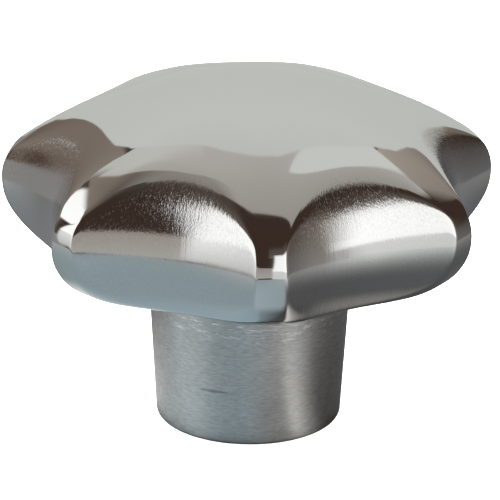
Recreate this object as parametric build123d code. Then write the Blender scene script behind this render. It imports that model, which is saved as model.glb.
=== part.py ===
"""Star knob: one solid piece of stainless steel with seven hollow-ground grips.

The head is a body of revolution, a shallow dome over a rounded rim and a nearly flat
underside, standing on a slightly tapered hub.  Seven scallops are cut into its rim.
Each scallop is concave in plan and bulges in side view, so it leaves a crisp crease
down both sides of a narrow grip tip and runs out into the dome without an edge.
The hub has a blind threaded hole in its bottom face.

Millimetres, +Z up.  The origin is the centre of the hub's bottom face, the knob's
axis is Z, and the middle of one grip tip points to -Y.
"""
from build123d import *

import os
from math import asin, atan2, cos, pi, radians, sin, tan

# --- head -------------------------------------------------------------------------
HEAD_DIA = 50.0            # circle through the grip tips
DOME_RISE = 10.8           # from the widest ring of the head to the top of the dome
RIM_UPPER_R = 4.3          # rounding from the widest ring up to the dome
RIM_LOWER_R = 6.8          # rounding from the widest ring down to the underside
UNDERSIDE_SLOPE = 4.0      # degrees, the underside rises outwards from the hub

# --- scallops ---------------------------------------------------------------------
GRIPS = 7                  # grip tips, with one scallop between each two
GRIP_LAND = 3.1            # width of a grip tip between its two creases
SCALLOP_HOLLOW = 2.25      # depth of a scallop below the chord between its creases
WAIST_DROP = 0.6           # a scallop is deepest this far below the widest ring
SCALLOP_LOWER_R = 10.2     # side-view rounding of a scallop below its waist

# --- hub --------------------------------------------------------------------------
HUB_LENGTH = 17.4          # from the hub's bottom face to the lowest part of the rim
HUB_WALL = 4.25            # metal around the thread at the bottom face
HUB_TAPER = 3.5            # degrees per side, the hub widens towards the head
HUB_EDGE_R = 0.5           # rounding of the bottom face's outer edge
NECK_FILLET_R = 0.6        # fillet between the hub and the underside

# --- threaded hole, M10 x 1.5 -----------------------------------------------------
THREAD_DIA = 10.0          # nominal diameter, the bore is drawn at the thread's roots
THREAD_PITCH = 1.5
THREAD_DEPTH = 20.0        # length of full thread
MOUTH_CHAMFER = 0.8        # 45 degree countersink at the mouth
DRILL_RUNOUT = 3.0         # plain tapping hole beyond the thread
DRILL_POINT = 118.0        # degrees, included angle of the drilled bottom

CLEARANCE = 1.0            # how far the cutting tools reach past the metal

# --- sizes that follow ------------------------------------------------------------
HEAD_R = HEAD_DIA / 2
RIM_HEIGHT = HUB_LENGTH + RIM_LOWER_R
KNOB_HEIGHT = RIM_HEIGHT + DOME_RISE
BORE_R = THREAD_DIA / 2
DRILL_R = (THREAD_DIA - THREAD_PITCH) / 2
HUB_FACE_R = BORE_R + HUB_WALL
HUB_FLARE = tan(radians(HUB_TAPER))

# The dome peaks on the axis and is tangent to the upper rounding of the rim.
UPPER_CENTRE_R = HEAD_R - RIM_UPPER_R
DOME_R = (UPPER_CENTRE_R ** 2 + DOME_RISE ** 2 - RIM_UPPER_R ** 2) / (
    2 * (DOME_RISE - RIM_UPPER_R)
)
DOME_CENTRE_Z = KNOB_HEIGHT - DOME_R

# The underside runs from the lower rounding of the rim down to the tapered hub.
UNDERSIDE_START = -pi / 2 + radians(UNDERSIDE_SLOPE)
UNDERSIDE_R = HEAD_R - RIM_LOWER_R + RIM_LOWER_R * cos(UNDERSIDE_START)
UNDERSIDE_Z = RIM_HEIGHT + RIM_LOWER_R * sin(UNDERSIDE_START)
UNDERSIDE_RISE = tan(radians(UNDERSIDE_SLOPE))
NECK_Z = (UNDERSIDE_Z - (UNDERSIDE_R - HUB_FACE_R) * UNDERSIDE_RISE) / (
    1 - HUB_FLARE * UNDERSIDE_RISE
)
NECK_R = HUB_FACE_R + NECK_Z * HUB_FLARE


def on_circle(centre, radius, angle):
    """Point of a side-view circle, at an angle above the radial direction."""
    return (centre[0] + radius * cos(angle), centre[1] + radius * sin(angle))


def arc(centre, radius, start, end):
    """Arc of a side-view circle between two angles above the radial direction."""
    angles = (start, (start + end) / 2, end)
    return ThreePointArc(*(on_circle(centre, radius, angle) for angle in angles))


def corner(sketch, point):
    """Corner of a side-view outline nearest to a point given as (radius, height)."""
    return sketch.vertices().sort_by_distance(point)[0]


def turned_body():
    """Head and hub as turned, before anything is cut into them."""
    rim_lean = atan2(RIM_HEIGHT - DOME_CENTRE_Z, UPPER_CENTRE_R)
    neck = (NECK_R, NECK_Z)
    hub_edge = (HUB_FACE_R, 0)
    with BuildPart() as body:
        with BuildSketch(Plane.XZ) as side:
            with BuildLine():
                dome = arc((0, DOME_CENTRE_Z), DOME_R, pi / 2, rim_lean)
                arc((UPPER_CENTRE_R, RIM_HEIGHT), RIM_UPPER_R, rim_lean, 0)
                lower = arc((HEAD_R - RIM_LOWER_R, RIM_HEIGHT), RIM_LOWER_R, 0, UNDERSIDE_START)
                Polyline(lower @ 1, neck, hub_edge, (0, 0), dome @ 0)
            make_face()
            fillet(corner(side, neck), NECK_FILLET_R)
            fillet(corner(side, hub_edge), HUB_EDGE_R)
        revolve(axis=Axis.Z)
    return body.part


def scallop_cutter():
    """Waisted wheel that leaves one scallop, beyond the head in the direction +X.

    Its axis is vertical.  Its rim is as deep as the scallop at the waist, flares above
    it along an arc that ends tangent to the dome, and flares below it along another.
    """
    half_angle = pi / GRIPS - asin(GRIP_LAND / HEAD_DIA)
    half_chord = HEAD_R * sin(half_angle)
    plan_r = (half_chord ** 2 + SCALLOP_HOLLOW ** 2) / (2 * SCALLOP_HOLLOW)
    waist_r = HEAD_R * cos(half_angle) - SCALLOP_HOLLOW
    waist_z = RIM_HEIGHT - WAIST_DROP
    axis_r = waist_r + plan_r

    above_dome_centre = waist_z - DOME_CENTRE_Z
    upper_r = (DOME_R ** 2 - waist_r ** 2 - above_dome_centre ** 2) / (2 * (DOME_R - waist_r))
    upper_centre = (waist_r - upper_r, waist_z)
    run_out = atan2(above_dome_centre, upper_centre[0])
    tangent_point = on_circle(upper_centre, upper_r, run_out)
    top_z = KNOB_HEIGHT + CLEARANCE
    top_r = tangent_point[0] - (top_z - tangent_point[1]) * tan(run_out)

    bottom_z = NECK_Z - CLEARANCE
    lower_centre = (waist_r - SCALLOP_LOWER_R, waist_z)
    under = -asin(min(0.95, (waist_z - bottom_z) / SCALLOP_LOWER_R))
    lower_end = on_circle(lower_centre, SCALLOP_LOWER_R, under)

    with BuildPart() as wheel:
        with BuildSketch(Plane.XZ):
            with BuildLine():
                arc(lower_centre, SCALLOP_LOWER_R, under, 0)
                arc(upper_centre, upper_r, 0, run_out)
                Polyline(
                    tangent_point,
                    (top_r, top_z),
                    (axis_r, top_z),
                    (axis_r, bottom_z - CLEARANCE),
                    (lower_end[0], bottom_z - CLEARANCE),
                    lower_end,
                )
            make_face()
        revolve(axis=Axis((axis_r, 0, 0), (0, 0, 1)))
    return wheel.part


def threaded_hole():
    """Blind hole in the hub: countersunk mouth, bore, tapping hole and drill point."""
    thread_end = THREAD_DEPTH
    drill_end = thread_end + DRILL_RUNOUT
    drill_tip = drill_end + DRILL_R / tan(radians(DRILL_POINT / 2))
    mouth_r = BORE_R + MOUTH_CHAMFER
    with BuildPart() as hole:
        with BuildSketch(Plane.XZ):
            with BuildLine():
                Polyline(
                    (0, -CLEARANCE),
                    (mouth_r, -CLEARANCE),
                    (mouth_r, 0),
                    (BORE_R, MOUTH_CHAMFER),
                    (BORE_R, thread_end),
                    (DRILL_R, thread_end),
                    (DRILL_R, drill_end),
                    (0, drill_tip),
                    close=True,
                )
            make_face()
        revolve(axis=Axis.Z)
    return hole.part


def star_knob():
    """The finished knob, one grip tip towards -Y."""
    knob = turned_body() - threaded_hole()
    wheel = scallop_cutter()
    pitch = 360 / GRIPS
    for index in range(GRIPS):
        knob -= Rot(0, 0, -90 + pitch * (index + 0.5)) * wheel
    solid = knob.solids()[0]
    solid.label = "star_knob"
    return solid


def main():
    os.makedirs("parts", exist_ok=True)
    export_step(star_knob(), "parts/star_knob.step")


if __name__ == "__main__":
    main()
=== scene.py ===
import math

import bpy
import numpy as np
from bpy.props import FloatProperty, FloatVectorProperty, IntProperty, PointerProperty
from mathutils import Matrix, Vector


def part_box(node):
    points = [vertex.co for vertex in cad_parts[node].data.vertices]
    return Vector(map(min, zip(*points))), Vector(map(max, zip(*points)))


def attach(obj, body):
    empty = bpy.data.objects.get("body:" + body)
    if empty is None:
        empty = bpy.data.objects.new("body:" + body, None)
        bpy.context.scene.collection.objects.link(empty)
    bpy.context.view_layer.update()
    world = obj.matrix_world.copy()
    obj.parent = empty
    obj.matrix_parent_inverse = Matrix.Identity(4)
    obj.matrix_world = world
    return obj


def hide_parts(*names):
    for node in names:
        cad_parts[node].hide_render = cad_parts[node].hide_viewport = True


bl_info = {
    "name": "Star knob",
    "version": (1, 0, 0),
    "blender": (4, 5, 0),
    "location": "3D View > Sidebar > Star knob",
    "description": "A polished stainless steel star knob with ground flutes and a tapped hub",
    "category": "Add Mesh",
}

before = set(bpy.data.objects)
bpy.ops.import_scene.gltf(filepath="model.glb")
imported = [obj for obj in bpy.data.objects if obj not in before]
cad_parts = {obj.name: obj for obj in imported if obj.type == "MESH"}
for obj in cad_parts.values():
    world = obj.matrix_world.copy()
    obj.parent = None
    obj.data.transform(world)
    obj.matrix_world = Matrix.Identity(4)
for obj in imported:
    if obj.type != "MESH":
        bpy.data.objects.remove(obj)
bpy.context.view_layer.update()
LOW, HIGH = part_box("star_knob")

MM = 0.001
MERGED = 0.001 * MM  # points nearer than this are one
MARK_DEPTH = 0.012 * MM  # of the lines and rings that the tools leave in the steel


def linear(hex_colour):
    """The linear colour of an sRGB hex value such as #C8C6C1."""
    values = [int(hex_colour[i:i + 2], 16) / 255 for i in (1, 3, 5)]
    return tuple(v / 12.92 if v <= 0.04045 else ((v + 0.055) / 1.055) ** 2.4 for v in values)


def length(name, description, millimetres):
    return FloatProperty(
        name=name, description=description, default=millimetres * MM, min=0.0,
        precision=5, unit="LENGTH", subtype="DISTANCE")


def angle(name, description, degrees):
    return FloatProperty(
        name=name, description=description, default=math.radians(degrees),
        precision=4, unit="ROTATION", subtype="ANGLE")


def colour(name, description, hex_colour):
    return FloatVectorProperty(
        name=name, description=description, default=linear(hex_colour), size=3,
        min=0.0, max=1.0, subtype="COLOR")


def share(name, description, value):
    return FloatProperty(
        name=name, description=description, default=value, min=0.0, max=1.0,
        subtype="FACTOR")


class KnobShape(bpy.types.PropertyGroup):
    """The sizes of the knob's surfaces"""
    head_radius: length("Head radius", "From the axis to a grip's tip", -LOW.y / MM)
    height: length("Height", "From the hub's face to the top of the dome", HIGH.z / MM)
    dome_rise: length("Dome rise", "From the rim's widest height to the top", 10.8)
    rim_upper: length("Upper rim radius", "Round from the dome to the grip's tip", 4.3)
    rim_lower: length("Lower rim radius", "Round from the tip to the underside", 6.8)
    under_slope: angle("Underside slope", "Rise of the underside towards the rim", 4.0)
    grips: IntProperty(name="Grips", description="Number of lobes", default=7, min=3, max=12)
    grip_land: length("Grip land", "Width left between two flutes at the tip", 3.1)
    hollow: length("Flute hollow", "Depth of a flute below the line across its mouth", 2.25)
    waist_drop: length("Waist drop", "Height of the rim above the flute's narrowest", 0.6)
    flute_lower: length("Flute lower radius", "Round of the flute towards the underside", 10.2)
    hub_radius: length("Hub face radius", "At the face, before the edge is rounded", 9.25)
    hub_taper: angle("Hub taper", "Draft of the hub's side", 3.5)
    hub_edge: length("Hub edge radius", "Round of the face's outer edge", 0.5)
    neck_fillet: length("Neck fillet", "Round between the hub and the underside", 0.6)
    thread_radius: length("Thread radius", "Half of the thread's nominal size", 5.0)
    thread_pitch: length("Thread pitch", "From one turn to the next", 1.5)
    thread_depth: length("Thread depth", "From the hub's face to the last turn", 20.0)
    mouth_chamfer: length("Mouth chamfer", "Chamfer at the hole's mouth", 0.8)
    drill_radius: length("Drill radius", "Tapping drill", 4.25)
    drill_runout: length("Drill run-out", "Drilled beyond the last turn", 3.0)
    drill_point: angle("Drill point", "Point angle of the drill", 118.0)
    edge_softness: length(
        "Edge softness", "How far buffing rounds a flute's edge at the grips", 0.25)
    crown_softness: length(
        "Crown softness", "How far buffing rounds a flute's edge under the dome", 0.9)
    brim_softness: length(
        "Brim softness", "How far buffing rounds a flute's edge under the rim", 0.9)


class KnobFinish(bpy.types.PropertyGroup):
    """The colours and the polish of the steel"""
    polished: colour("Polished steel", "The head, buffed", "#CBCBC9")
    turned: colour("Turned steel", "The hub, off the lathe", "#C6C6C4")
    drilled: colour("Cut steel", "The tapped hole", "#9C9A96")
    head_roughness: share("Head roughness", "Haze of the buffed dome", 0.055)
    flute_roughness: share("Flute roughness", "Haze of the ground flutes", 0.1)
    hub_roughness: share("Hub roughness", "Haze of the turned hub", 0.42)
    hole_roughness: share("Hole roughness", "Haze of the tapped hole", 0.32)


class KnobStudio(bpy.types.PropertyGroup):
    """The floor, the cards that the steel mirrors, and the camera"""
    azimuth: angle("Camera azimuth", "Round the knob, from its front grip", -4.7)
    elevation: angle("Camera elevation", "Above the floor", 21.15)
    distance: length("Camera distance", "From the rim's centre", 473.33)
    aim_height: length("Aim height", "Height of the rim's centre", 24.137)
    aim_down: angle("Aim below", "How far below the rim the lens points", 0.767)
    roll: angle("Roll", "Turn of the camera round its own line", 0.646)
    lens: FloatProperty(name="Lens", description="Focal length", default=342.7, min=1.0,
                        unit="CAMERA")
    floor: colour("Floor", "The pale floor and its sweep", "#F4F4F2")
    room: colour("Room", "The dark room that the steel mirrors between the cards", "#4B3B33")


NO_FLUTE = 1.0  # a reach in metres that no surface of the knob has
RAY_LENGTH = 40 * MM
RAY_STEPS = 160
BISECTIONS = 30


class KnobForm:
    """The knob's surfaces worked out from its sizes: the turned body and the ground flutes."""

    def __init__(self, shape):
        self.shape = shape
        self.rim_height = shape.height - shape.dome_rise
        self.rim_centre = shape.head_radius - shape.rim_upper
        # the dome peaks on the axis and is tangent to the rim's upper round
        self.dome_radius = ((self.rim_centre ** 2 + shape.dome_rise ** 2 - shape.rim_upper ** 2)
                            / (2 * (shape.dome_rise - shape.rim_upper)))
        self.dome_height = shape.height - self.dome_radius
        self.lean = math.atan2(self.rim_height - self.dome_height, self.rim_centre)
        # a flute's plan is an arc across its mouth, as deep as the hollow
        half = math.pi / shape.grips
        mouth = half - math.asin(shape.grip_land / 2 / shape.head_radius)
        chord = shape.head_radius * math.sin(mouth)
        self.plan_radius = (chord ** 2 + shape.hollow ** 2) / (2 * shape.hollow)
        waist_radius = shape.head_radius * math.cos(mouth) - shape.hollow
        self.waist = self.rim_height - shape.waist_drop
        self.wheel_axis = waist_radius + self.plan_radius
        # above its waist a flute rises along an arc that ends tangent to the dome
        above = self.waist - self.dome_height
        self.flute_upper = ((self.dome_radius ** 2 - waist_radius ** 2 - above ** 2)
                            / (2 * (self.dome_radius - waist_radius)))
        self.run_out = math.atan2(above, waist_radius - self.flute_upper)
        self.run_out_rise = self.flute_upper * math.sin(self.run_out)
        # inside the head, where the rays to its surfaces start
        self.anchor = (shape.head_radius / 2, self.waist)

    def flute_radius(self, turn, height):
        """How far from the axis a flute's surface is, at an angle from the flute's middle."""
        shape = self.shape
        up = np.clip(height - self.waist, 0, None)
        on_arc = np.minimum(up, self.run_out_rise)
        flare = self.flute_upper - np.sqrt(np.maximum(self.flute_upper ** 2 - on_arc ** 2, 0))
        flare += (up - on_arc) * math.tan(self.run_out)
        # the lower arc stops just short of lying flat
        down = np.clip(self.waist - height, 0, 0.98 * shape.flute_lower)
        flare += shape.flute_lower - np.sqrt(shape.flute_lower ** 2 - down ** 2)
        wheel = self.plan_radius + flare
        inside = wheel ** 2 - (self.wheel_axis * np.sin(turn)) ** 2
        surface = self.wheel_axis * np.cos(turn) - np.sqrt(np.maximum(inside, 0))
        return np.where(inside > 0, surface, NO_FLUTE)

    def ray(self, points):
        """Length and direction of the line from the anchor to each point of the profile."""
        across, up = points[:, 0] - self.anchor[0], points[:, 1] - self.anchor[1]
        reach = np.hypot(across, up)
        return reach, across / reach, up / reach

    def reach_to_flute(self, points, turn):
        """How far along each point's ray the flute's surface is first met."""
        _, across, up = self.ray(points)

        def gap(reach):
            height = self.anchor[1] + reach * up
            return self.anchor[0] + reach * across - self.flute_radius(turn, height)

        near, far = np.zeros(len(points)), np.full(len(points), RAY_LENGTH)
        met = np.zeros(len(points), bool)
        previous = gap(near)
        for reach in np.linspace(0, RAY_LENGTH, RAY_STEPS + 1)[1:]:
            current = gap(np.full(len(points), reach))
            first = ~met & (previous < 0) & (current >= 0)
            near[first], far[first] = reach - RAY_LENGTH / RAY_STEPS, reach
            met |= first
            previous = current
        for _ in range(BISECTIONS):
            middle = (near + far) / 2
            outside = gap(middle) >= 0
            far, near = np.where(outside, middle, far), np.where(outside, near, middle)
        return np.where(met, (near + far) / 2, NO_FLUTE)

    def edge_turn(self, points):
        """The angle from a flute's middle at which its edge crosses each row of the profile,
        or nought where the row has no flute in it."""
        radius = np.maximum(points[:, 0], 1e-9)
        # the wheel's radius at each height follows from the flute's surface on its own middle line
        wheel = self.wheel_axis - self.flute_radius(np.zeros(len(points)), points[:, 1])
        cosine = (radius ** 2 + self.wheel_axis ** 2 - wheel ** 2) / (2 * radius * self.wheel_axis)
        outer = radius > 0.55 * self.shape.head_radius
        crossed = (cosine < 1) & (cosine > 0.5) & outer
        return np.where(crossed, np.arccos(np.clip(cosine, -1, 1)), 0.0)


def arc(centre, radius, start, end, steps):
    """Points round an arc in the profile, its first one left out."""
    turns = [start + (end - start) * i / steps for i in range(1, steps + 1)]
    return [(centre[0] + radius * math.cos(t), centre[1] + radius * math.sin(t)) for t in turns]


def run(points, end, steps):
    """Points from the last one straight to the end."""
    start = points[-1]
    return [(start[0] + (end[0] - start[0]) * i / steps, start[1] + (end[1] - start[1]) * i / steps)
            for i in range(1, steps + 1)]


def rounded(before, corner, after, radius, steps):
    """Points round a corner of the profile, from one tangent point to the other."""
    a = (Vector(before) - Vector(corner)).normalized()
    b = (Vector(after) - Vector(corner)).normalized()
    half = a.angle(b) / 2
    centre = Vector(corner) + (a + b).normalized() * radius / math.sin(half)
    start = Vector(corner) + a * radius / math.tan(half) - centre
    swing = start.angle_signed(Vector(corner) + b * radius / math.tan(half) - centre)
    return [tuple(centre + Matrix.Rotation(-swing * i / steps, 2) @ start)
            for i in range(steps + 1)]


# Rows of vertices on each stretch of the turned outline.
DOME_ROWS = 60
RIM_UPPER_ROWS = 16
RIM_LOWER_ROWS = 24
UNDERSIDE_ROWS = 10
NECK_ROWS = 5
HUB_ROWS = 12
HUB_EDGE_ROWS = 6
FACE_ROWS = 3
CHAMFER_ROWS = 2
BORE_ROWS = 10
RUNOUT_ROWS = 2
POINT_ROWS = 4


def knob_profile(form):
    """The turned outline as (radius, height) points, from the top of the dome round to the
    drill's point, and how many of them are on the head."""
    shape = form.shape
    flat = math.pi / 2
    points = [(0.0, shape.height)]
    points += arc((0, form.dome_height), form.dome_radius, flat, form.lean, DOME_ROWS)
    upper_centre = (form.rim_centre, form.rim_height)
    points += arc(upper_centre, shape.rim_upper, form.lean, 0, RIM_UPPER_ROWS)
    lower_centre = (shape.head_radius - shape.rim_lower, form.rim_height)
    points += arc(lower_centre, shape.rim_lower, 0, shape.under_slope - flat, RIM_LOWER_ROWS)
    rim_end = points[-1]
    slope, taper = math.tan(shape.under_slope), math.tan(shape.hub_taper)
    neck_height = (rim_end[1] - (rim_end[0] - shape.hub_radius) * slope) / (1 - taper * slope)
    neck = (shape.hub_radius + neck_height * taper, neck_height)
    face_edge = (shape.hub_radius, 0.0)
    bend = rounded(rim_end, neck, face_edge, shape.neck_fillet, NECK_ROWS)
    points += run(points, bend[0], UNDERSIDE_ROWS) + bend[1:]
    head_rows = len(points)
    mouth = (shape.thread_radius + shape.mouth_chamfer, 0.0)
    bend = rounded(neck, face_edge, mouth, shape.hub_edge, HUB_EDGE_ROWS)
    points += run(points, bend[0], HUB_ROWS)
    points += bend[1:]
    drilled = shape.thread_depth + shape.drill_runout
    point_depth = shape.drill_radius / math.tan(shape.drill_point / 2)
    for end, steps in (
            (mouth, FACE_ROWS),
            ((shape.thread_radius, shape.mouth_chamfer), CHAMFER_ROWS),
            ((shape.thread_radius, shape.thread_depth), BORE_ROWS),
            ((shape.drill_radius, shape.thread_depth), 1),
            ((shape.drill_radius, drilled), RUNOUT_ROWS),
            ((0.0, drilled + point_depth), POINT_ROWS)):
        points += run(points, end, steps)
    return np.array(points), head_rows


def deselect():
    if bpy.context.object and bpy.context.object.mode != "OBJECT":
        bpy.ops.object.mode_set(mode="OBJECT")
    bpy.ops.object.select_all(action="DESELECT")


def edit(obj):
    deselect()
    obj.select_set(True)
    bpy.context.view_layer.objects.active = obj
    bpy.ops.object.mode_set(mode="EDIT")


def drawn_outline(name, points):
    """A chain of edges in the XZ plane, extruded from point to point."""
    deselect()
    bpy.ops.mesh.primitive_plane_add(size=MM, location=(0, 0, 0))
    obj = bpy.context.object
    obj.name = obj.data.name = name
    bpy.ops.object.mode_set(mode="EDIT")
    bpy.ops.mesh.select_all(action="SELECT")
    bpy.ops.mesh.merge(type="CENTER")
    place = Vector((0, 0, 0))
    for radius, height in points:
        step = Vector((radius, 0, height)) - place
        if len(obj.data.vertices) and place == Vector((0, 0, 0)):
            bpy.ops.transform.translate(value=step)
        else:
            bpy.ops.mesh.extrude_region_move(TRANSFORM_OT_translate={"value": step})
        place += step
    return obj


def scaled(rgb, factor=1.0):
    """A linear colour made lighter or darker, with its alpha."""
    return (*(channel * factor for channel in rgb), 1)


def node(tree, kind, inputs=None, **settings):
    """Add a node, set what it is given, and link each input that is another node or its output."""
    made = tree.nodes.new(kind)
    for name, value in settings.items():
        setattr(made, name, value)
    for name, value in (inputs or {}).items():
        if isinstance(value, bpy.types.Node):
            value = value.outputs[0]
        if isinstance(value, bpy.types.NodeSocket):
            tree.links.new(value, made.inputs[name])
        else:
            made.inputs[name].default_value = value
    return made


def new_material(name):
    material = bpy.data.materials.new(name)
    material.use_nodes = True
    material.node_tree.nodes.clear()
    return material, material.node_tree


def polished_steel(finish, form):
    """Stainless steel, buffed: a clear cool mirror with a little haze. The flutes keep the fine
    lines of the belt that ground them, coarser towards the dome, which break up what they
    mirror."""
    material, tree = new_material("stainless steel, buffed over a belt-ground head")
    place = node(tree, "ShaderNodeTexCoord").outputs["Object"]
    height = node(tree, "ShaderNodeSeparateXYZ", {0: place}).outputs["Z"]
    ground = node(tree, "ShaderNodeAttribute", attribute_name="ground").outputs["Fac"]
    lay = node(tree, "ShaderNodeAttribute", attribute_name="lay").outputs["Vector"]
    # how near a point is to the dome, where the belt lifts off the steel
    rise = node(tree, "ShaderNodeMapRange", {
        "Value": height, "From Min": form.waist + 1 * MM, "From Max": form.waist + 6.5 * MM},
        interpolation_type="SMOOTHSTEP")
    # fine lines 0.3 mm apart and broad ones 0.9 mm apart run up the flute
    upright = node(tree, "ShaderNodeMapping", {"Vector": lay, "Scale": (1.0, 0.06, 1.0)})
    fine = node(tree, "ShaderNodeTexNoise", {
        "Vector": upright, "Scale": 1 / (0.3 * MM), "Detail": 2.0, "Roughness": 0.6})
    broad = node(tree, "ShaderNodeTexNoise", {
        "Vector": upright, "Scale": 1 / (0.9 * MM), "Detail": 1.0, "Roughness": 0.5})
    # short torn marks 0.17 mm across lie between them, most of them by the dome
    short = node(tree, "ShaderNodeMapping", {"Vector": lay, "Scale": (1.0, 0.4, 1.0)})
    torn = node(tree, "ShaderNodeTexNoise", {
        "Vector": short, "Scale": 1 / (0.17 * MM), "Detail": 2.0, "Roughness": 0.6})
    fine_depth = node(tree, "ShaderNodeMath", {
        0: fine, 1: node(tree, "ShaderNodeMix", {0: rise, 2: 0.35, 3: 1.0})},
        operation="MULTIPLY")
    broad_depth = node(tree, "ShaderNodeMath", {
        0: broad, 1: node(tree, "ShaderNodeMix", {0: rise, 2: 0.6, 3: 1.3})},
        operation="MULTIPLY")
    torn_depth = node(tree, "ShaderNodeMath", {
        0: torn, 1: node(tree, "ShaderNodeMix", {0: rise, 2: 0.2, 3: 2.0})},
        operation="MULTIPLY")
    lines = node(tree, "ShaderNodeMath", {0: fine_depth, 1: broad_depth}, operation="ADD")
    marks = node(tree, "ShaderNodeMath", {0: lines, 1: torn_depth}, operation="ADD")
    depth = node(tree, "ShaderNodeMath", {0: marks, 1: ground}, operation="MULTIPLY")
    bump = node(tree, "ShaderNodeBump", {"Height": depth, "Strength": 1.0, "Distance": MARK_DEPTH})
    # buffing leaves clouds of haze about 7 mm across
    clouds = node(tree, "ShaderNodeTexNoise", {
        "Vector": place, "Scale": 1 / (7 * MM), "Detail": 4.0, "Roughness": 0.6})
    haze = node(tree, "ShaderNodeMapRange", {"Value": clouds, "To Min": 0.5, "To Max": 1.5})
    flute = node(tree, "ShaderNodeMix", {
        0: rise, 2: finish.flute_roughness, 3: 1.2 * finish.flute_roughness})
    dull = node(tree, "ShaderNodeMix", {0: ground, 2: finish.head_roughness, 3: flute})
    hazed = node(tree, "ShaderNodeMath", {0: haze, 1: dull}, operation="MULTIPLY")
    # torn steel is darker in its pits, and its crests are lighter and scatter more light
    worn = node(tree, "ShaderNodeMath", {
        0: ground, 1: node(tree, "ShaderNodeMix", {0: rise, 2: 0.15, 3: 1.0})},
        operation="MULTIPLY")
    crests = node(tree, "ShaderNodeMapRange", {"Value": torn, "From Min": 0.4, "From Max": 0.62})
    mottled = node(tree, "ShaderNodeMix", {
        0: crests, 6: scaled(finish.polished, 0.85), 7: scaled(finish.polished, 1.12)},
        data_type="RGBA")
    tint = node(tree, "ShaderNodeMix", {
        0: worn, 6: scaled(finish.polished), 7: mottled.outputs[2]}, data_type="RGBA")
    high = node(tree, "ShaderNodeMapRange", {
        "Value": torn, "From Min": 0.52, "From Max": 0.68, "To Max": 0.24},
        interpolation_type="SMOOTHSTEP")
    scatter = node(tree, "ShaderNodeMath", {0: high, 1: worn}, operation="MULTIPLY")
    rough = node(tree, "ShaderNodeMath", {0: hazed, 1: scatter}, operation="ADD")
    steel = node(tree, "ShaderNodeBsdfPrincipled", {
        "Base Color": tint.outputs[2], "Metallic": 1.0, "Roughness": rough, "Normal": bump})
    node(tree, "ShaderNodeOutputMaterial", {"Surface": steel})
    return material


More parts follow.
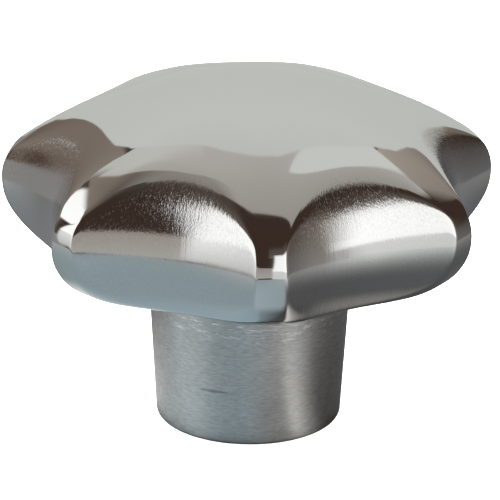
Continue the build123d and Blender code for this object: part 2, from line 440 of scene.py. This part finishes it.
def turned_steel(finish):
    """Stainless steel, turned: fine rings round the hub that draw its reflections out upright,
    a few short scores, and the coarser marks of the tool close under the head."""
    material, tree = new_material("stainless steel, fine turned")
    place = node(tree, "ShaderNodeTexCoord").outputs["Object"]
    axes = node(tree, "ShaderNodeSeparateXYZ", {0: place})
    height = axes.outputs["Z"]
    # measured up the side and on across the face, the marks run round the axis on both
    flat = node(tree, "ShaderNodeMapping", {"Vector": place, "Scale": (1.0, 1.0, 0.0)})
    radius = node(tree, "ShaderNodeVectorMath", {0: flat}, operation="LENGTH").outputs["Value"]
    along = node(tree, "ShaderNodeMath", {0: height, 1: radius}, operation="SUBTRACT")
    wound = node(tree, "ShaderNodeCombineXYZ", {
        0: axes.outputs["X"], 1: axes.outputs["Y"], 2: along})
    # the tool's feed leaves rings about 0.2 mm apart, all the way round
    ringed = node(tree, "ShaderNodeMapping", {"Vector": wound, "Scale": (0.2, 0.2, 1.0)})
    rings = node(tree, "ShaderNodeTexNoise", {
        "Vector": ringed, "Scale": 1 / (0.16 * MM), "Detail": 3.0, "Roughness": 0.65})
    # broader bands, a few millimetres long, where it dwelt
    banded = node(tree, "ShaderNodeMapping", {"Vector": wound, "Scale": (0.12, 0.12, 1.0)})
    bands = node(tree, "ShaderNodeTexNoise", {
        "Vector": banded, "Scale": 1 / (1.6 * MM), "Detail": 3.0, "Roughness": 0.6})
    # chatter in the last few millimetres under the head, six times as deep as the rings
    under_head = node(tree, "ShaderNodeMapRange", {
        "Value": height, "From Min": 10.0 * MM, "From Max": 12.8 * MM, "To Max": 6.0},
        interpolation_type="SMOOTHSTEP")
    chattered = node(tree, "ShaderNodeMapping", {"Vector": wound, "Scale": (0.22, 0.22, 1.0)})
    chatter = node(tree, "ShaderNodeTexNoise", {
        "Vector": chattered, "Scale": 1 / (0.32 * MM), "Detail": 3.0, "Roughness": 0.7})
    chatter_depth = node(tree, "ShaderNodeMath", {0: chatter, 1: under_head}, operation="MULTIPLY")
    depth = node(tree, "ShaderNodeMath", {0: rings, 1: chatter_depth}, operation="ADD")
    bump = node(tree, "ShaderNodeBump", {"Height": depth, "Strength": 1.0, "Distance": MARK_DEPTH})
    # a few thin dark scores, 4 mm long, turned so that one of them faces the front
    scored = node(tree, "ShaderNodeMapping", {
        "Vector": wound, "Rotation": (0.0, 0.0, math.radians(64)), "Scale": (0.09, 0.09, 1.0)})
    score_marks = node(tree, "ShaderNodeTexNoise", {
        "Vector": scored, "Scale": 1 / (0.45 * MM), "Detail": 0.0})
    scores = node(tree, "ShaderNodeMapRange", {
        "Value": score_marks, "From Min": 0.80, "From Max": 0.85, "To Max": 0.55},
        interpolation_type="SMOOTHSTEP")
    # the rings' crests are a little lighter, and the chatter's are bright where it tore
    streak = node(tree, "ShaderNodeMapRange", {"Value": rings, "From Min": 0.3, "From Max": 0.7},
                  interpolation_type="SMOOTHSTEP")
    ringed_tint = node(tree, "ShaderNodeMix", {
        0: streak, 6: scaled(finish.turned, 0.86), 7: scaled(finish.turned, 1.12)},
        data_type="RGBA")
    torn = node(tree, "ShaderNodeMapRange", {
        "Value": chatter, "From Min": 0.53, "From Max": 0.70}, interpolation_type="SMOOTHSTEP")
    bright = node(tree, "ShaderNodeMath", {
        0: torn, 1: node(tree, "ShaderNodeMath", {0: under_head, 1: 0.15}, operation="MULTIPLY")},
        operation="MULTIPLY")
    marked = node(tree, "ShaderNodeMix", {
        0: bright, 6: ringed_tint.outputs[2], 7: (1.0, 1.0, 1.0, 1)}, data_type="RGBA")
    tint = node(tree, "ShaderNodeMix", {
        0: scores, 6: marked.outputs[2], 7: scaled(finish.turned, 0.3)}, data_type="RGBA")
    rough = node(tree, "ShaderNodeMix", {
        0: bands, 2: finish.hub_roughness * 0.8, 3: finish.hub_roughness * 1.2})
    steel = node(tree, "ShaderNodeBsdfPrincipled", {
        "Base Color": tint.outputs[2], "Metallic": 1.0, "Roughness": rough,
        "Anisotropic": 0.8, "Anisotropic Rotation": 0.25, "Normal": bump})
    node(tree, "ShaderNodeOutputMaterial", {"Surface": steel})
    return material


def cut_steel(finish):
    """Stainless steel, drilled and tapped: dull, with the rings that the tap leaves."""
    material, tree = new_material("stainless steel, drilled and tapped")
    place = node(tree, "ShaderNodeTexCoord").outputs["Object"]
    # rings about 0.3 mm apart
    ringed = node(tree, "ShaderNodeMapping", {"Vector": place, "Scale": (0.1, 0.1, 1.0)})
    rings = node(tree, "ShaderNodeTexNoise", {
        "Vector": ringed, "Scale": 1 / (0.3 * MM), "Detail": 3.0})
    bump = node(tree, "ShaderNodeBump", {"Height": rings, "Strength": 1.0, "Distance": 0.02 * MM})
    steel = node(tree, "ShaderNodeBsdfPrincipled", {
        "Base Color": scaled(finish.drilled), "Metallic": 1.0, "Roughness": finish.hole_roughness,
        "Normal": bump})
    node(tree, "ShaderNodeOutputMaterial", {"Surface": steel})
    return material


# Columns of vertices from a flute's middle to its edge, and from there to the grip's middle.
COLUMNS_IN_FLUTE = 22
COLUMNS_ON_LAND = 8
HALF_COLUMNS = COLUMNS_IN_FLUTE + COLUMNS_ON_LAND
NARROWEST_EDGE = 0.10  # radians from a flute's middle, where its two edges close up
SPREAD_OVER = 6 * MM  # beyond a flute its columns spread out evenly over this length
BLOCK = 4096  # vertices whose rows are looked up at one time


def eased(value):
    """A rise from 0 to 1 that starts and ends level."""
    held = np.clip(value, 0, 1)
    return held ** 2 * (3 - 2 * held)


def blend_reach(body, flute, softness):
    """The nearer of two surfaces, with the edge between them rounded off."""
    overlap = np.maximum(softness - np.abs(body - flute), 0) / softness
    return np.minimum(body, flute) - overlap ** 2 * softness / 4


class KNOB_OT_body(bpy.types.Operator):
    """Turn the knob's body, grind its flutes and give its surfaces their finish"""
    bl_idname = "mesh.star_knob_body"
    bl_label = "Knob body"
    bl_options = {"REGISTER", "UNDO"}

    def execute(self, context):
        shape, finish = context.scene.knob_shape, context.scene.knob_finish
        form = KnobForm(shape)
        profile, head_rows = knob_profile(form)
        columns = 2 * shape.grips * HALF_COLUMNS
        obj = drawn_outline("knob_body", profile)
        bpy.ops.mesh.select_all(action="SELECT")
        bpy.ops.mesh.spin(steps=columns, angle=2 * math.pi, center=(0, 0, 0), axis=(0, 0, 1))
        bpy.ops.mesh.select_all(action="SELECT")
        bpy.ops.mesh.remove_doubles(threshold=MERGED)
        bpy.ops.mesh.normals_make_consistent(inside=False)
        bpy.ops.object.mode_set(mode="OBJECT")
        self.grind(obj, form, profile, head_rows)
        for material in (polished_steel(finish, form), turned_steel(finish), cut_steel(finish)):
            obj.data.materials.append(material)
        hub_top = profile[head_rows - 1][1]
        bore = shape.thread_radius + shape.mouth_chamfer
        for face in obj.data.polygons:
            centre = face.center
            inner = (centre.xy.length < bore
                     and centre.z < form.rim_height + shape.mouth_chamfer * 2)
            face.material_index = 2 if inner else int(centre.z < hub_top)
        deselect()
        obj.select_set(True)
        context.view_layer.objects.active = obj
        bpy.ops.object.shade_smooth_by_angle(angle=math.radians(50))
        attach(obj, "root")
        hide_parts("star_knob")
        return {"FINISHED"}

    def pressed(self, form, head, along):
        """For each row of the head and each column from a flute's middle to the grip's middle:
        its new radius, angle and height, and how far inside the body the flute is there."""
        shape = form.shape
        edge = form.edge_turn(head)
        crossed = np.nonzero(edge > 0)[0]
        if not len(crossed):
            raise RuntimeError("the flutes don't reach the head")
        half_turn = math.pi / shape.grips
        even = half_turn * COLUMNS_IN_FLUTE / HALF_COLUMNS
        # away from the flutes the columns spread out evenly again
        before, after = along[crossed[0]] - along, along - along[crossed[-1]]
        spread = eased(np.maximum(before, after) / SPREAD_OVER)
        narrow = NARROWEST_EDGE + (even - NARROWEST_EDGE) * spread
        split = np.where(edge > 0, np.maximum(edge, NARROWEST_EDGE), narrow)
        # on both sides of an edge the columns are gathered close to it
        gather_in, gather_out = 1.6 - 0.6 * spread, 1.4 - 0.4 * spread
        crown = eased((head[:, 1] - (form.waist + 3 * MM)) / (4.5 * MM))
        brim = eased((form.waist - 1 * MM - head[:, 1]) / (3.5 * MM))
        softness = (shape.edge_softness + (shape.crown_softness - shape.edge_softness) * crown
                    + (shape.brim_softness - shape.edge_softness) * brim)
        grid = np.zeros((len(head), HALF_COLUMNS + 1, 4))
        body, across, up = form.ray(head)
        for j in range(HALF_COLUMNS + 1):
            if j <= COLUMNS_IN_FLUTE:
                turn = split * (1 - (1 - j / COLUMNS_IN_FLUTE) ** gather_in)
            else:
                beyond = ((j - COLUMNS_IN_FLUTE) / COLUMNS_ON_LAND) ** gather_out
                turn = split + (half_turn - split) * beyond
            flute = form.reach_to_flute(head, turn)
            reach = blend_reach(body, flute, softness)
            radius = np.where(reach == body, head[:, 0], form.anchor[0] + reach * across)
            grid[:, j] = np.stack([radius, turn, form.anchor[1] + reach * up, body - flute], 1)
        return grid

    def grind(self, obj, form, profile, head_rows):
        """Gather the columns along the flutes' edges, press the head in to the flutes, and
        write where the steel is ground and how its marks lie."""
        mesh, shape = obj.data, form.shape
        place = np.empty(len(mesh.vertices) * 3)
        mesh.vertices.foreach_get("co", place)
        place = place.reshape(-1, 3)
        radius, height = np.hypot(place[:, 0], place[:, 1]), place[:, 2]
        row = np.empty(len(place), int)
        for first in range(0, len(place), BLOCK):
            part = slice(first, first + BLOCK)
            across = radius[part, None] - profile[None, :, 0]
            up = height[part, None] - profile[None, :, 1]
            row[part] = (across ** 2 + up ** 2).argmin(1)
        head = profile[:head_rows]
        along = np.concatenate([[0], np.cumsum(np.hypot(*np.diff(head, axis=0).T))])
        grid = self.pressed(form, head, along)
        whole_turn = 2 * math.pi / shape.grips
        sector = (np.arctan2(place[:, 1], place[:, 0]) + math.pi / 2) / whole_turn
        middle = np.floor(sector + 1e-4) + 0.5
        side = sector - middle
        column = np.rint(np.abs(side) * 2 * HALF_COLUMNS).astype(int)
        on_head = (row < head_rows) & (radius > MERGED)
        out, turn, high, inside = grid[row[on_head], column[on_head]].T
        turn = np.sign(side[on_head]) * turn
        bearing = middle[on_head] * whole_turn + turn - math.pi / 2
        place[on_head] = np.stack([out * np.cos(bearing), out * np.sin(bearing), high], 1)
        mesh.vertices.foreach_set("co", place.ravel())
        ground = np.zeros(len(place), np.float32)
        ground[on_head] = np.clip((inside - 0.06 * MM) / (0.5 * MM), 0, 1)
        # the marks lie across and along each flute, and differ from one flute to the next
        lay = np.zeros((len(place), 3), np.float32)
        lay[on_head] = np.stack([turn * shape.head_radius, along[row[on_head]],
                                 middle[on_head] % shape.grips * 20 * MM], 1)
        mesh.attributes.new("lay", "FLOAT_VECTOR", "POINT").data.foreach_set("vector", lay.ravel())
        mesh.attributes.new("ground", "FLOAT", "POINT").data.foreach_set("value", ground)
        mesh.update()


class KNOB_OT_thread(bpy.types.Operator):
    """Cut the turns of the thread that stand up in the hub's hole"""
    bl_idname = "mesh.star_knob_thread"
    bl_label = "Thread turns"
    bl_options = {"REGISTER", "UNDO"}

    def execute(self, context):
        shape, finish = context.scene.knob_shape, context.scene.knob_finish
        pitch, root = shape.thread_pitch, shape.thread_radius
        # the metric profile: 60 degrees, five eighths of the full triangle's height
        full = pitch * math.sqrt(3) / 2
        crest = root - full * 5 / 8
        crest_half, root_half = pitch / 8, pitch * 7 / 16
        start = shape.mouth_chamfer + root_half
        turns = (shape.thread_depth - root_half - start) / pitch
        sunk = root + 0.02 * MM  # a little into the bore's wall
        ridge = [(sunk, start - root_half), (crest, start - crest_half),
                 (crest, start + crest_half), (sunk, start + root_half), (sunk, start - root_half)]
        obj = drawn_outline("thread_turns", ridge)
        bpy.ops.mesh.select_all(action="SELECT")
        bpy.ops.mesh.remove_doubles(threshold=MERGED)
        bpy.ops.object.mode_set(mode="OBJECT")
        whole = math.ceil(turns)
        screw = obj.modifiers.new("turns", "SCREW")
        screw.angle = 2 * math.pi * turns / whole
        screw.screw_offset = pitch * turns / whole
        screw.iterations = whole
        screw.steps = screw.render_steps = 72
        screw.use_merge_vertices = False
        bpy.ops.object.modifier_apply(modifier=screw.name)
        edit(obj)
        bpy.ops.mesh.select_mode(type="EDGE")
        bpy.ops.mesh.select_all(action="DESELECT")
        bpy.ops.mesh.select_non_manifold(extend=False)
        bpy.ops.mesh.fill_holes(sides=0)
        bpy.ops.mesh.select_all(action="SELECT")
        bpy.ops.mesh.normals_make_consistent(inside=False)
        bpy.ops.object.mode_set(mode="OBJECT")
        obj.data.materials.append(cut_steel(finish))
        bpy.ops.object.shade_smooth_by_angle(angle=math.radians(30))
        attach(obj, "root")
        return {"FINISHED"}


def toward(azimuth, elevation):
    """The direction from the knob at an azimuth from its front grip and an elevation."""
    flat = math.cos(elevation)
    return Vector((math.sin(azimuth) * flat, -math.cos(azimuth) * flat, math.sin(elevation)))


def glow(name, low_colour, high_colour, left_power, right_power, soft):
    """Light from a card: coloured from its low to its high edge, its power from its left to its
    right edge, and faded out towards its left, right, low and high edges over these shares."""
    material, tree = new_material(name)
    place = node(tree, "ShaderNodeTexCoord").outputs["UV"]
    axes = node(tree, "ShaderNodeSeparateXYZ", {0: place})
    u, v = axes.outputs["X"], axes.outputs["Y"]
    shown = 1.0
    for value, edge, share_faded in zip((u, u, v, v), (0, 1, 0, 1), soft):
        if share_faded:
            fade = node(tree, "ShaderNodeMapRange", {
                "Value": value, "From Min": edge, "From Max": abs(edge - share_faded)},
                interpolation_type="SMOOTHSTEP")
            shown = node(tree, "ShaderNodeMath", {0: shown, 1: fade}, operation="MULTIPLY")
    power = node(tree, "ShaderNodeMix", {0: u, 2: left_power, 3: right_power})
    tint = node(tree, "ShaderNodeMix", {
        0: v, 6: scaled(linear(low_colour)), 7: scaled(linear(high_colour))}, data_type="RGBA")
    clear = node(tree, "ShaderNodeBsdfTransparent")
    light = node(tree, "ShaderNodeEmission", {"Color": tint.outputs[2], "Strength": power})
    fading = node(tree, "ShaderNodeMixShader", {0: shown, 1: clear, 2: light})
    node(tree, "ShaderNodeOutputMaterial", {"Surface": fading})
    return material


def lit_paper():
    """White paper lit from the studio's front, dimmer towards the floor."""
    material, tree = new_material("lit paper")
    power = node(tree, "ShaderNodeAttribute", attribute_name="power").outputs["Fac"]
    light = node(tree, "ShaderNodeEmission", {
        "Color": scaled(linear("#EEF0EC")), "Strength": power})
    node(tree, "ShaderNodeOutputMaterial", {"Surface": light})
    return material


# The table's colours round the knob, each from its azimuth in degrees, with light and shade painted
# in: beside the hub, with a painted pool of light and painted shade, in the head's painted shade,
# and out in the painted light.
HUB_TABLE = ((-180, "#C4C5C5"), (-125, "#F3F6F5"), (-85, "#D4DFE1"), (-58, "#B5C8D0"),
             (-30, "#A6BCC8"), (-4, "#A2B6C0"), (10, "#555759"), (26, "#4B4B4B"),
             (35, "#F1F1EC"), (46, "#B5B3AF"), (60, "#555555"), (135, "#616165"))
SHADE_TABLE = ((-180, "#737476"), (-125, "#898B8D"), (-85, "#A2B3B8"), (-25, "#A6B8C0"),
               (-4, "#BACBD4"), (8, "#ADBDC4"), (22, "#6F7173"), (60, "#616163"),
               (100, "#636365"), (135, "#696A6E"))
FAR_TABLE = ((-180, "#7E8081"), (-125, "#8B8B8D"), (-92, "#BFC4C5"), (-70, "#C5CBCE"),
             (-45, "#ADBABF"), (0, "#AAB8BF"), (19, "#DADEDE"), (44, "#F6F8F7"),
             (56, "#DDDFDE"), (66, "#B8BAB9"), (84, "#9E9E9D"), (150, "#7C7D7E"))


def table_top():
    """The blue-grey table close round the knob, glowing with painted light, with the knob's shadow
    painted on its right.
    """
    material, tree = new_material("blue-grey table")
    place = node(tree, "ShaderNodeTexCoord").outputs["Object"]
    axes = node(tree, "ShaderNodeSeparateXYZ", {0: place})
    front = node(tree, "ShaderNodeMath", {0: axes.outputs["Y"], 1: -1.0}, operation="MULTIPLY")
    azimuth = node(tree, "ShaderNodeMath", {0: axes.outputs["X"], 1: front}, operation="ARCTAN2")
    turn = node(tree, "ShaderNodeMapRange", {
        "Value": azimuth, "From Min": -math.pi, "From Max": math.pi})
    radius = node(tree, "ShaderNodeVectorMath", {0: place}, operation="LENGTH").outputs["Value"]
    ramps = []
    for stops in (HUB_TABLE, SHADE_TABLE, FAR_TABLE):
        ramp = node(tree, "ShaderNodeValToRGB", {0: turn})
        elements = ramp.color_ramp.elements
        while len(elements) < len(stops):
            elements.new(0.5)
        for element, (degrees, value) in zip(elements, stops):
            element.position = (degrees + 180) / 360
            element.color = scaled(linear(value))
        ramps.append(ramp)
    tint = ramps[0]
    for ramp, start, end in ((ramps[1], 22 * MM, 32 * MM), (ramps[2], 40 * MM, 94 * MM)):
        out = node(tree, "ShaderNodeMapRange", {
            "Value": radius, "From Min": start, "From Max": end}, interpolation_type="SMOOTHSTEP")
        tint = node(tree, "ShaderNodeMix", {0: out, 6: tint, 7: ramp}, data_type="RGBA").outputs[2]
    # painted contact shade: nearly dark where the hub stands on it
    painted_contact_shade = node(tree, "ShaderNodeMapRange", {
        "Value": radius, "From Min": 9.3 * MM, "From Max": 11.5 * MM, "To Min": 0.1},
        interpolation_type="SMOOTHSTEP")
    light = node(tree, "ShaderNodeEmission", {"Color": tint, "Strength": painted_contact_shade})
    node(tree, "ShaderNodeOutputMaterial", {"Surface": light})
    return material


# The cards stand round the knob, and only the steel sees them. Each has the azimuth from the
# camera and the elevation, in degrees, of its low left, low right, high left and high right
# corner, its distance, its low and high colour, its left and right power, and the shares of it
# over which its left, right, low and high edges fade.
CARDS = (
    ("softbox left", ((-93, 10), (-45, 10), (-93, 52), (-46, 42)), 0.50,
     "#FFFFFF", "#FFFFFF", 1.65, 1.55, (0.04, 0.16, 0.0, 0.12)),
    ("softbox left low", ((-93, -17), (-40, -17), (-93, 10), (-43, 10)), 0.50,
     "#C8C8C6", "#FFFFFF", 1.18, 1.45, (0.04, 0.22, 0.3, 0.0)),
    ("softbox left high", ((-134, 25), (-93, 25), (-132, 45), (-93, 52)), 0.50,
     "#FFFFFF", "#FFFFFF", 1.6, 1.65, (0.06, 0.0, 0.12, 0.14)),
    ("spill over left", ((-137, 42), (-44, 38), (-142, 74), (-50, 68)), 0.52,
     "#968A80", "#5E544E", 1.15, 0.45, (0.04, 0.4, 0.0, 0.5)),
    ("softbox right", ((9, 1), (80, -8), (12, 44.5), (82, 26)), 0.50,
     "#FFFFFF", "#FFFFFF", 1.5, 1.75, (0.02, 0.34, 0.07, 0.2)),
    ("spill over right", ((9, 34), (78, 28), (14, 66), (84, 62)), 0.51,
     "#7E726A", "#5E544E", 0.8, 0.75, (0.0, 0.3, 0.0, 0.5)),
    ("spill right", ((70, -17), (114, -17), (70, 38), (110, 34)), 0.54,
     "#9C9995", "#756358", 1.15, 0.95, (0.0, 0.7, 0.0, 0.3)),
    ("lit floor right", ((9, -17), (82, -17), (9, 2), (82, 2)), 0.52,
     "#F8F9FA", "#FFFFFF", 0.98, 1.15, (0.02, 0.42, 0.0, 0.0)),
    ("warm card", ((-58, -13.9), (12, -13.9), (-58, 11), (12, 11)), 0.55,
     "#D3D1CC", "#BFB5AC", 0.95, 0.88, (0.0, 0.0, 0.0, 0.1)),
    ("dark flag", ((-126, 1), (-102, 1), (-128, 13), (-104, 12)), 1.20,
     "#5C4C43", "#5C4C43", 1.0, 1.0, (0.2, 0.2, 0.0, 0.35)),
    ("side card left", ((-168, 0), (-91, 0), (-150, 44), (-98, 26)), 1.60,
     "#76665C", "#A0958B", 1.0, 1.1, (0.03, 0.15, 0.0, 0.05)),
    ("low card left", ((-172, -17), (-90, -17), (-172, 0), (-90, 0)), 1.58,
     "#9A9A99", "#9A9896", 0.92, 1.15, (0.0, 0.0, 0.0, 0.0)),
    ("low card right", ((80, -17), (172, -17), (80, 8), (172, 8)), 1.55,
     "#7E7F81", "#4E4641", 1.0, 1.0, (0.1, 0.0, 0.0, 0.4)),
    ("side card right", ((133, 8), (162, 8), (130, 47), (150, 47)), 1.60,
     "#857A72", "#CABFB5", 0.75, 1.0, (0.35, 0.0, 0.15, 0.0)),
)

# The paper behind and over the knob, from the floor up: how far back, how high, how far out to
# its left and right edges, and how bright.
PAPER = ((0.12, -0.0003, 0.045, 0.062, 0.70), (0.55, -0.0003, 0.165, 0.235, 0.73),
         (0.92, -0.0003, 0.255, 0.40, 0.77), (0.95, 0.067, 0.266, 0.49, 0.80),
         (0.95, 0.156, 0.300, 0.53, 0.83), (0.95, 0.249, 0.335, 0.53, 0.86),
         (0.95, 0.348, 0.375, 0.48, 0.89), (0.95, 0.455, 0.405, 0.455, 0.92),
         (0.95, 0.567, 0.425, 0.46, 0.94), (0.95, 0.68, 0.455, 0.49, 0.96),
         (0.90, 0.76, 0.45, 0.50, 0.97), (0.75, 0.785, 0.40, 0.40, 0.98),
         (0.56, 0.785, 0.27, 0.27, 0.97), (0.44, 0.785, 0.13, 0.13, 0.94),
         (0.41, 0.785, 0.03, 0.03, 0.92))

# Panels overhead: how far across and back their front left, front right, back left and back
# right corners are, then colours, powers and faded edges as for the cards.
OVERHEAD_HEIGHT = 0.80
OVERHEAD_STEP = 5 * MM  # each panel hangs this far under the one before
OVERHEAD = (
    ("ceiling", ((-0.38, 0.110), (0.50, 0.030), (-0.56, 0.60), (0.68, 0.58)),
     "#BEB8B2", "#DBD7D3", 1.06, 0.88, (0.03, 0.08, 0.02, 0.0)),
    ("ceiling panel left", ((-0.36, 0.37), (-0.16, 0.40), (-0.64, 0.64), (-0.16, 0.80)),
     "#E8E8E4", "#E2E2DE", 1.0, 1.0, (0.25, 0.0, 0.3, 0.0)),
    ("ceiling panel right", ((0.155, 0.365), (0.35, 0.36), (0.28, 0.75), (0.56, 0.60)),
     "#F2F4F0", "#F2F4F0", 1.0, 1.0, (0.0, 0.35, 0.08, 0.0)),
)


SENSOR_WIDTH = 36.0
FLOOR_RADIUS = 1.4
FLOOR_BEND = 0.4  # radius of the sweep from the floor up to the wall
FLOOR_BEND_STEPS = 12
WALL_HEIGHT = 1.4
TABLE_RADIUS = 97 * MM
TABLE_DROP = 0.2 * MM  # under the floor, so that the hub's face stays clear of it


class KNOB_OT_stage(bpy.types.Operator):
    """Set the floor, the soft lights and cards, and the camera"""
    bl_idname = "scene.star_knob_stage"
    bl_label = "Stage"
    bl_options = {"REGISTER", "UNDO"}

    def execute(self, context):
        studio = context.scene.knob_studio
        self.camera(context, studio)
        self.floor(context, studio)
        self.world(context, studio)
        self.cards(studio)
        context.scene.view_settings.view_transform = "Standard"
        return {"FINISHED"}

    def camera(self, context, studio):
        data = bpy.data.cameras.new("camera")
        data.lens = studio.lens
        data.sensor_width = SENSOR_WIDTH
        data.clip_start, data.clip_end = 0.05, 10.0
        camera = bpy.data.objects.new("camera", data)
        context.scene.collection.objects.link(camera)
        aim = Vector((0, 0, studio.aim_height))
        back = toward(studio.azimuth, studio.elevation)
        turned = (back.to_track_quat("Z", "Y").to_matrix()
                  @ Matrix.Rotation(-studio.aim_down, 3, "X")
                  @ Matrix.Rotation(studio.roll, 3, "Z"))
        camera.matrix_world = Matrix.LocRotScale(
            aim + back * studio.distance, turned.to_quaternion(), None)
        context.scene.camera = camera

    def floor(self, context, studio):
        deselect()
        bpy.ops.mesh.primitive_circle_add(
            vertices=96, radius=FLOOR_RADIUS, fill_type="NGON", location=(0, 0, 0))
        floor = context.object
        floor.name = "floor"
        bpy.ops.object.mode_set(mode="EDIT")
        bpy.ops.mesh.select_mode(type="EDGE")
        bpy.ops.mesh.select_all(action="SELECT")
        bpy.ops.mesh.region_to_loop()
        radius, height = FLOOR_RADIUS, 0.0
        for i in range(1, FLOOR_BEND_STEPS + 1):
            bend = i * math.pi / 2 / FLOOR_BEND_STEPS
            wide = FLOOR_RADIUS + FLOOR_BEND * math.sin(bend)
            tall = FLOOR_BEND - FLOOR_BEND * math.cos(bend)
            bpy.ops.mesh.extrude_edges_move(
                TRANSFORM_OT_translate={"value": (0, 0, tall - height)})
            bpy.ops.transform.resize(
                value=(wide / radius, wide / radius, 1), center_override=(0, 0, 0))
            radius, height = wide, tall
        bpy.ops.mesh.extrude_edges_move(TRANSFORM_OT_translate={"value": (0, 0, WALL_HEIGHT)})
        bpy.ops.mesh.edge_face_add()
        bpy.ops.object.mode_set(mode="OBJECT")
        bpy.ops.object.shade_smooth()
        material, tree = new_material("white paper sweep")
        paper = node(tree, "ShaderNodeBsdfPrincipled", {
            "Base Color": scaled(studio.floor), "Roughness": 1.0, "Specular IOR Level": 0.0,
            "Emission Color": (1, 1, 1, 1), "Emission Strength": 0.85})
        node(tree, "ShaderNodeOutputMaterial", {"Surface": paper})
        floor.data.materials.append(material)
        floor.visible_glossy = False

    def world(self, context, studio):
        world = bpy.data.worlds.new("dark studio")
        world.use_nodes = True
        world.node_tree.nodes.clear()
        light = node(world.node_tree, "ShaderNodeBackground", {
            "Color": scaled(studio.room), "Strength": 0.9})
        node(world.node_tree, "ShaderNodeOutputWorld", {"Surface": light})
        context.scene.world = world

    def cards(self, studio):
        turn = Matrix.Rotation(studio.azimuth, 3, "Z")
        centre = Vector((0, 0, studio.aim_height))
        for name, corners, distance, *light in CARDS:
            points = [centre + turn @ toward(math.radians(az), math.radians(el)) * distance
                      for az, el in corners]
            self.card(name, 1, points, glow(name, *light))
        for n, (name, corners, *light) in enumerate(OVERHEAD):
            height = OVERHEAD_HEIGHT - n * OVERHEAD_STEP
            points = [turn @ Vector((across, back, height)) for across, back in corners]
            self.card(name, 1, points, glow(name, *light))
        points = [turn @ Vector((across, back, up))
                  for back, up, left, right, _ in PAPER for across in (-left, right)]
        paper = self.card("paper", len(PAPER) - 1, points, lit_paper())
        power = paper.data.attributes.new("power", "FLOAT", "POINT")
        power.data.foreach_set("value", [row[-1] for row in PAPER for _ in (0, 1)])
        deselect()
        bpy.ops.mesh.primitive_circle_add(
            vertices=96, radius=TABLE_RADIUS, fill_type="NGON", location=(0, 0, -TABLE_DROP))
        table = bpy.context.object
        table.name = "table"
        table.data.materials.append(table_top())
        self.only_mirrored(table)

    def card(self, name, rows, points, material):
        """A sheet through two points to a row, from its low left corner up."""
        deselect()
        bpy.ops.mesh.primitive_grid_add(x_subdivisions=1, y_subdivisions=rows, size=1)
        card = bpy.context.object
        card.name = name
        card.data.vertices.foreach_set("co", [c for p in points for c in p])
        card.data.materials.append(material)
        self.only_mirrored(card)
        return card

    def only_mirrored(self, card):
        """Only the steel sees the card: it lights nothing else and casts no shadow."""
        card.visible_camera = card.visible_diffuse = card.visible_shadow = False


class KNOB_PT_panel(bpy.types.Panel):
    """Lists what makes the knob and its stage"""
    bl_idname = "KNOB_PT_panel"
    bl_label = "Star knob"
    bl_space_type = "VIEW_3D"
    bl_region_type = "UI"
    bl_category = "Star knob"

    def draw(self, context):
        for operator in OPERATORS:
            self.layout.operator(operator.bl_idname)


OPERATORS = (KNOB_OT_body, KNOB_OT_thread, KNOB_OT_stage)
GROUPS = {"knob_shape": KnobShape, "knob_finish": KnobFinish, "knob_studio": KnobStudio}


def register():
    for group in (*GROUPS.values(), *OPERATORS, KNOB_PT_panel):
        bpy.utils.register_class(group)
    for name, group in GROUPS.items():
        setattr(bpy.types.Scene, name, PointerProperty(type=group))


def unregister():
    for name in GROUPS:
        delattr(bpy.types.Scene, name)
    for group in reversed((*GROUPS.values(), *OPERATORS, KNOB_PT_panel)):
        bpy.utils.unregister_class(group)


def main():
    register()
    bpy.ops.mesh.star_knob_body()
    bpy.ops.mesh.star_knob_thread()
    bpy.ops.scene.star_knob_stage()


if __name__ == "__main__":
    main()
